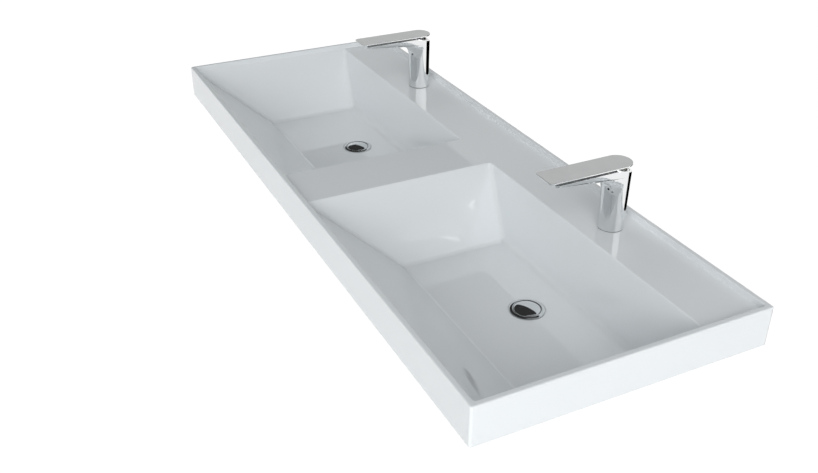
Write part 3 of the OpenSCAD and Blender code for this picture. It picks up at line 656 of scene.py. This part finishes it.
# %% Levels of the tap body
COLUMN_R, HEAD_R = 21.5, 23
ROOT_T, MIDDLE_T, EDGE_T, SPOUT_REACH, SPOUT_TIP_R = 14, 8, 3, 129, 6
ROOT_Z, TIP_RUN = COLUMN_H - ROOT_T, SPOUT_REACH - SPOUT_TIP_R
ARCH_Z, ARCH_H, ARCH_START, ARCH_REACH, ARCH_CORNER_R = 52.73, 48, 12, 44, 2
ARCH_END = ARCH_START + ARCH_REACH
KEEL_R, KEEL_S = 11, 116
SEAL_T = 1


def column_r(z):
    """The column's radius, which grows evenly from the seal to the top."""
    return COLUMN_R + (HEAD_R - COLUMN_R) * (z - SEAL_T) / (COLUMN_H - SEAL_T)


def lean(depth):
    """How much the side comes in for each millimetre ahead of the axis, by its depth."""
    return 0.0005 * depth + 0.00014 * depth ** 2


def middle_depth(s):
    """Depth of the underside's middle at a distance ahead of the axis."""
    return ROOT_T - (ROOT_T - MIDDLE_T) * min(1, max(0, s) / TIP_RUN)


def edge_depth(s):
    """Depth of the side's lower edge."""
    return ROOT_T - (ROOT_T - EDGE_T) * min(1, max(0, s) / TIP_RUN)


def spout_level(depth):
    """A level of the spout at one depth, but never below the side's lower edge."""
    def place_point(way, share):
        s = share * TIP_RUN
        if not share:
            flat = HEAD_R - TIP_RUN * lean(min(depth, EDGE_T))
            tip = [(side * (flat - SPOUT_TIP_R), -TIP_RUN, SPOUT_TIP_R) for side in (-1, 1)]
            x, y = belt([(0, 0, column_r(COLUMN_H - depth))] + tip, way)
            return x, y, COLUMN_H - min(depth, edge_depth(-y))
        down = min(depth, edge_depth(s))
        return math.cos(way) * (column_r(COLUMN_H - down) - s * lean(down)), -s, COLUMN_H - down
    return place_point


def keel_level(way, share):
    """The edge of the flat bottom, which narrows from the hollow curve to a round nose."""
    s = share * KEEL_S
    if not share:
        x, y = belt([(0, 0, column_r(ROOT_Z)), (0, -KEEL_S, KEEL_R)], way)
        return x, y, COLUMN_H - middle_depth(-y)
    down = middle_depth(s)
    wide = column_r(COLUMN_H - down) - min(s, ARCH_END) * lean(down)
    wide += (KEEL_R - wide) * max(0, s - ARCH_END) / (KEEL_S - ARCH_END)
    return math.cos(way) * wide, -s, COLUMN_H - down


def arch_level(turn):
    """A level of the hollow curve, by its angle from the column."""
    z = ARCH_Z + ARCH_H * math.sin(turn)
    reach = ARCH_START + ARCH_REACH * (1 - math.cos(turn))
    half = column_r(z) - reach * lean(COLUMN_H - z)
    corner_x, corner_y = half - ARCH_CORNER_R, ARCH_CORNER_R - reach
    discs = [(0, 0, column_r(min(z, ROOT_Z)))]
    discs += [(side * corner_x, corner_y, ARCH_CORNER_R) for side in (-1, 1)]

    def place_point(way, share):
        x, y = belt(discs, way)
        if share:
            end_x, end_y = belt(discs, way - math.cos(way) * FIRST_WAY)
            part = min(1, share * KEEL_S / -end_y)
            x, y = x + (end_x - x) * part, y + (end_y - y) * part
        floor_z = COLUMN_H - middle_depth(-y)
        if z > floor_z and share:
            x = math.cos(way) * (column_r(floor_z) + y * lean(COLUMN_H - floor_z))
        elif z > floor_z and y < 0:
            x += math.cos(way) * y * (lean(COLUMN_H - floor_z) - lean(COLUMN_H - z))
            x += math.cos(way) * (column_r(floor_z) - column_r(z))
        return x, y, min(z, floor_z)
    return place_point


LEVELS = [flat_level([(0, 0, COLUMN_R)], SEAL_T), flat_level([(0, 0, column_r(ARCH_Z))], ARCH_Z)]
LEVELS += [arch_level(math.radians(turn)) for turn in range(3, 91, 3)]
LEVELS += [keel_level] + [spout_level(depth) for depth in (ROOT_T, 12, 10, 8, 6, 4.5, 3, 2, 1, 0)]
print("tap body:", len(LEVELS), "levels")

# %% [markdown]
# ## Closing and drilling the tap body
# A plane cuts the rear slope off the skin, and the hole that it leaves is filled. Then one tool
# takes out all that is bored on the real casting: the chamber for the cartridge and the wider seat
# of its nut, the aerator's recess, the two inlets, the stud's hole and the set screw's hole.
#
# The skin is closed before it is drilled and is not quite closed after. The last line prints how
# many edges don't join just two faces. It should print none, so these two meshes still need work.

# %% Closing and drilling the tap body
SLOPE_START_Y, SLOPE_ANGLE = -17, math.radians(14)
CHAMBER_R, CHAMBER_Z, NUT_R, NUT_Z, NUT_OVER_Z, LAP = 18, 60, 19.2, 95.9, 125, 1.1
AERATOR_Y, AERATOR_R, AERATOR_LOW_Z, AERATOR_TOP_Z = -116, 9.5, 90, 109.2
INLET_X, INLET_Y, INLET_R, STUD_Y, STUD_HOLE_R = 7.5, 5, 5, -10, 4.1
FOOT_LOW_Z, FOOT_TOP_Z = -2, 15
SCREW_Z, SCREW_R, SCREW_IN, SCREW_OUT, SCREW_TURN = 77, 2, -17.7, -40, math.radians(25)


def loose_edges(piece):
    """How many of a piece's edges don't join just two faces."""
    bm = bmesh.new()
    bm.from_mesh(piece.data)
    count = sum(not edge.is_manifold for edge in bm.edges)
    bm.free()
    return count


def tap_body_mesh(side):
    """The whole skin of one tap body, with its rear slope."""
    bm = bmesh.new()
    wrap(bm, LEVELS, SIDE_POINTS)
    cut = bmesh.ops.bisect_plane(
        bm, geom=bm.verts[:] + bm.edges[:] + bm.faces[:],
        plane_co=at(0, SLOPE_START_Y, COLUMN_H),
        plane_no=(0, math.sin(SLOPE_ANGLE), math.cos(SLOPE_ANGLE)), clear_outer=True)
    open_edges = [g for g in cut["geom_cut"] if isinstance(g, bmesh.types.BMEdge)]
    bmesh.ops.holes_fill(bm, edges=open_edges)
    bmesh.ops.recalc_face_normals(bm, faces=bm.faces)
    bmesh.ops.translate(bm, vec=at(side * BOWL_X, TAP_Y, DECK_Z), verts=bm.verts)
    return bm


def tap_tool(side):
    """All that is drilled into the body."""
    bm = bmesh.new()
    x, y, z = side * BOWL_X, TAP_Y, DECK_Z
    rod(bm, (x, y, z), CHAMBER_R, CHAMBER_Z, NUT_Z + LAP, 96)
    rod(bm, (x, y, z), NUT_R, NUT_Z, NUT_OVER_Z, 96)
    rod(bm, (x, y + AERATOR_Y, z), AERATOR_R, AERATOR_LOW_Z, AERATOR_TOP_Z, 64)
    for end in (-1, 1):
        rod(bm, (x + end * INLET_X, y + INLET_Y, z), INLET_R, FOOT_LOW_Z, FOOT_TOP_Z, 32)
    rod(bm, (x, y + STUD_Y, z), STUD_HOLE_R, FOOT_LOW_Z, FOOT_TOP_Z, 32)
    made = rod(bm, (0, 0, 0), SCREW_R, SCREW_OUT, SCREW_IN, 32, axis="Y")
    turn = Matrix.Translation(at(x, y, z + SCREW_Z)) @ Matrix.Rotation(SCREW_TURN, 4, "Z")
    bmesh.ops.transform(bm, matrix=turn, verts=made)
    return bm


for name, side in SIDES:
    tap = new_object("tap_body_" + name, tap_body_mesh(side))
    round_edges(tap, 0.7)
    closed = loose_edges(tap)
    combine(tap, tap_tool(side))
    print(tap.name, "has", closed, "loose edges before drilling and", loose_edges(tap), "after")
    soften(tap, 30)
    dress(tap, "basin", "chrome", "tap_body_" + name)

# %% [markdown]
# ## Lever
# The lever is a thin flat blade with the same outline as the spout below it, a hand's width long,
# with a boss that grips the cartridge's stem. It is stamped and polished, so its edges are
# eased by only half a millimetre, which draws the bright line round it.

# %% Lever
LEVER_Z, LEVER_T, LEVER_Y, LEVER_TIP_R = 115.2, 2.2, -141, 7
BOSS_R, BOSS_Z, BOSS_LAP, STEM_Y = 7, 106.4, 1, 3
SOCKET_HALF_W, SOCKET_HALF_D, SOCKET_TOP_Z, GRUB_Z, GRUB_R = 4, 3.1, 115.9, 110.9, 2.1
LEVER = [(0, 0, HEAD_R)]
LEVER += [(s * (HEAD_R - LEVER_TIP_R), LEVER_Y + LEVER_TIP_R, LEVER_TIP_R) for s in (-1, 1)]
for name, side in SIDES:
    bm = bmesh.new()
    wrap(bm, [flat_level(LEVER, LEVER_Z), flat_level(LEVER, LEVER_Z + LEVER_T)])
    bmesh.ops.translate(bm, vec=at(side * BOWL_X, TAP_Y, DECK_Z), verts=bm.verts)
    lever = new_object("lever_" + name, bm)
    round_edges(lever, 0.5)
    x, y = side * BOWL_X, TAP_Y + STEM_Y
    bm = bmesh.new()
    rod(bm, (x, y, DECK_Z), BOSS_R, BOSS_Z, LEVER_Z + BOSS_LAP, 64)
    combine(lever, bm, "UNION")
    bm = bmesh.new()
    block(
        bm, (x - SOCKET_HALF_W, y - SOCKET_HALF_D, DECK_Z + BOSS_Z - BOSS_LAP),
        (x + SOCKET_HALF_W, y + SOCKET_HALF_D, DECK_Z + SOCKET_TOP_Z))
    rod(bm, (x, y, DECK_Z + GRUB_Z), GRUB_R, 0, BOSS_R + BOSS_LAP, 24, axis="Y")
    combine(lever, bm)
    soften(lever, 30)
    dress(lever, "lever_" + name, "chrome", "lever_" + name)

# %% [markdown]
# ## Trim dome
# A cone shaped cover hides the cartridge's nut and shows in the gap when the lever lifts. It is a
# spun shell, so its section goes once round the axis.

# %% Trim dome
DOME = [
    (14.5, 101.4), (18.8, 101.4), (18.8, 102.9), (18.2, 103.6),
    (16.4, 105.8), (15.9, 106), (14.5, 106)]
for name, side in SIDES:
    dome = new_object("trim_dome_" + name, lathe(DOME, (side * BOWL_X, TAP_Y, DECK_Z)))
    soften(dome, 30)
    dress(dome, "basin", "chrome", "trim_dome_" + name)

# %% [markdown]
# ## Plug and flange
# The flange is a shallow ring with a rounded crest and a cone inside that seats the plug. The plug
# is a low dome with a rolled edge. Both are turned on a lathe, so both are spun here, with
# enough points in the curve that the mirror finish shows no facets.

# %% Plug and flange
CROWN_Z, PLUG_R, EDGE_Z, UNDER_Z = 4.4, 22.3, 1.2, -0.3
FLANGE_R, THROAT_R, SEAT_R, CREST_Z, CREST_R = 29.5, 23.1, 21.6, 1.9, 24.6
BORE_R, NECK_R, SPIGOT_R = 17.6, 22.3, 19.18


def quarter(centre_r, centre_z, half_r, half_z, first=0, last=90, step=6):
    """Points on an elliptic curve. It starts level with the centre and ends above it."""
    turns = [math.radians(turn) for turn in range(first, last + 1, step)]
    return [(centre_r + half_r * math.cos(t), centre_z + half_z * math.sin(t)) for t in turns]


plug = [(0, UNDER_Z), (PLUG_R - 1.6, UNDER_Z), (PLUG_R - 0.5, UNDER_Z + 0.5)]
plug += quarter(0, EDGE_Z, PLUG_R, CROWN_Z - EDGE_Z, last=84) + [(0, CROWN_Z)]
flange = [(BORE_R, -14), (SPIGOT_R, -14), (SPIGOT_R, -6), (NECK_R, -6), (NECK_R, -1)]
flange += [(FLANGE_R, -1)]
flange += quarter(CREST_R, 0.1, FLANGE_R - CREST_R, CREST_Z - 0.1)
flange += quarter(CREST_R, 0.9, CREST_R - THROAT_R, CREST_Z - 0.9, 102, 180)
flange += [(SEAT_R, -1.2), (BORE_R, -6)]
for name, side in SIDES:
    centre = (side * BOWL_X, WASTE_Y, FLOOR_Z)
    cap = new_object("plug_cap_" + name, lathe(plug, centre))
    soften(cap, 30)
    dress(cap, "plug_" + name, "chrome", "plug_cap_" + name)
    ring = new_object("waste_flange_" + name, lathe(flange, centre))
    soften(ring, 30)
    dress(ring, "basin", "chrome", "waste_flange_" + name)

# %% [markdown]
# ## Studio
# The picture has a plain white ground. The floor lies where a floor would be under a basin at
# normal height, so its shadow is soft. The camera and mirror finishes see it almost white,
# through the Light Path node, while the light that it throws back up is only its own.

# %% Studio floor and world
STUDIO_FLOOR_Z, SKY_LEVEL = -820, 0.25


def seen_directly(nodes):
    """One for rays from the camera, from a mirror or through glass, and zero for the rest."""
    path = nodes.new("ShaderNodeLightPath")
    first = nodes.new("ShaderNodeMath")
    first.operation = "MAXIMUM"
    second = nodes.new("ShaderNodeMath")
    second.operation = "MAXIMUM"
    tree = path.id_data
    tree.links.new(path.outputs["Is Camera Ray"], first.inputs[0])
    tree.links.new(path.outputs["Is Glossy Ray"], first.inputs[1])
    tree.links.new(first.outputs[0], second.inputs[0])
    tree.links.new(path.outputs["Is Transmission Ray"], second.inputs[1])
    return second.outputs[0]


world = bpy.data.worlds.new("studio")
bpy.context.scene.world = world
world.use_nodes = True
nodes, links = world.node_tree.nodes, world.node_tree.links
plain, white = nodes["Background"], nodes.new("ShaderNodeBackground")
mix = nodes.new("ShaderNodeMixShader")
plain.inputs["Color"].default_value = (0.95, 0.98, 1, 1)
plain.inputs["Strength"].default_value = SKY_LEVEL
white.inputs["Color"].default_value = (1, 1, 1, 1)
white.inputs["Strength"].default_value = 1
links.new(seen_directly(nodes), mix.inputs["Fac"])
links.new(plain.outputs[0], mix.inputs[1])
links.new(white.outputs[0], mix.inputs[2])
links.new(mix.outputs[0], nodes["World Output"].inputs["Surface"])

bm = bmesh.new()
bmesh.ops.create_grid(bm, x_segments=1, y_segments=1, size=12)
bmesh.ops.translate(bm, vec=at(0, 0, STUDIO_FLOOR_Z), verts=bm.verts)
floor = new_object("studio_floor", bm)
paper, nodes, links, shader = finish("studio_paper", (0.88, 0.88, 0.88), 0.9)
glow, mix = nodes.new("ShaderNodeEmission"), nodes.new("ShaderNodeMixShader")
share = nodes.new("ShaderNodeMath")
share.operation = "MULTIPLY"
share.inputs[1].default_value = 0.85
glow.inputs["Strength"].default_value = 1.1
shader.inputs["Emission Color"].default_value = (1, 1, 1, 1)
shader.inputs["Emission Strength"].default_value = 0.18
links.new(seen_directly(nodes), share.inputs[0])
links.new(share.outputs[0], mix.inputs["Fac"])
links.new(shader.outputs[0], mix.inputs[1])
links.new(glow.outputs[0], mix.inputs[2])
links.new(mix.outputs[0], nodes["Material Output"].inputs["Surface"])
floor.data.materials.append(paper)
floor.visible_glossy = False
print("studio floor at", STUDIO_FLOOR_Z, "mm")

# %% [markdown]
# ## Lamps and cards
# Two wide soft lamps stand at the front right, one low and one high, so the apron's two visible
# sides are bright and the flat top stays a quiet grey. A lamp on the left and a small one overhead
# fill the bowls. Mirrors see only the low one.
#
# Photographers put cards round chrome to give it something to mirror, and only mirror rays see
# these. A black one far behind and below draws the line down each column. Of the two ceilings the
# near one is almost black, which turns the domed plugs dark, and the rear one is grey, which gives
# the levers their even tone. A bright card at the right rear lights the columns' sides, and two
# small ones in front of it put gleams on the near bowl's glaze. Seen from above, the levers
# mirror the black ceiling and look dark: that comes from these cards and not from the chrome.

# %% Lamps and cards


def lamp(name, place_mm, target_mm, width, height, power):
    """A soft rectangular lamp that looks at a target."""
    data = bpy.data.lights.new(name, "AREA")
    data.shape, data.size, data.size_y, data.energy = "RECTANGLE", width, height, power
    light = bpy.data.objects.new(name, data)
    light.location = at(*place_mm)
    light.rotation_mode = "QUATERNION"
    light.rotation_quaternion = (at(*target_mm) - at(*place_mm)).to_track_quat("-Z", "Y")
    bpy.context.scene.collection.objects.link(light)
    return light


def card(name, corners, level):
    """A flat reflector that only mirror rays see, with one even level of light."""
    bm = bmesh.new()
    bmesh.ops.contextual_create(bm, geom=[bm.verts.new(at(*corner)) for corner in corners])
    piece = new_object(name, bm)
    material = bpy.data.materials.new(name)
    material.use_nodes = True
    nodes, links = material.node_tree.nodes, material.node_tree.links
    glow = nodes.new("ShaderNodeEmission")
    glow.inputs["Color"].default_value = (level, level, level, 1)
    links.new(glow.outputs[0], nodes["Material Output"].inputs["Surface"])
    piece.data.materials.append(material)
    piece.visible_camera = piece.visible_diffuse = piece.visible_shadow = False
    piece.visible_transmission = piece.visible_volume_scatter = False
    return piece


def upright_card(name, start, end, low, high, level):
    """An upright card over the floor line from start to end."""
    return card(name, [(*start, low), (*end, low), (*end, high), (*start, high)], level)


lamp("key_lamp", (5400, -3460, 1500), (100, -240, 0), 6.8, 4.4, 140)
lamp("top_lamp", (300, -300, 2600), (0, -240, 0), 1.8, 1.8, 2.2).visible_glossy = False
for name, spot, power in (
        ("high_lamp", (4700, -3100, 3300), 150), ("left_lamp", (-4500, -900, 2600), 60)):
    lamp(name, spot, (100, -240, 0), 4.8, 4.4, power).visible_glossy = False
upright_card("dark_card", (1750, 3850), (-3900, 1300), -6000, -420, 0.0)
upright_card("bright_card", (3600, -300), (1000, 3900), 150, 1720, 2.1)


def ceiling(name, front_y, rear_y, level):
    """A level card high over the basin."""
    return card(name, [
        (-CEILING_X, front_y, CEILING_Z), (CEILING_X, front_y, CEILING_Z),
        (CEILING_X, rear_y, CEILING_Z), (-CEILING_X, rear_y, CEILING_Z)], level)


CEILING_X, CEILING_Z, CEILING_SPLIT_Y = 12000, 3000, 2960
ceiling("dark_ceiling", -9000, CEILING_SPLIT_Y, 0.03)
ceiling("grey_ceiling", CEILING_SPLIT_Y, 12000, 0.52)

WINDOW_MM, WINDOW_LEVEL = Vector((2344, 1072, 1657)), 3.0
away = Vector((0.718, 0.42, 0.555))
across = Vector((0, 0, 1)).cross(away).normalized()
upwards = away.cross(across)
for name, corners in (
        ("window_card", ((-64, 12), (10, 64), (64, 28), (26, -82))),
        ("small_window_card", ((150, 62), (200, 72), (158, 22)))):
    card(name, [WINDOW_MM + across * x + upwards * y for x, y in corners], WINDOW_LEVEL)
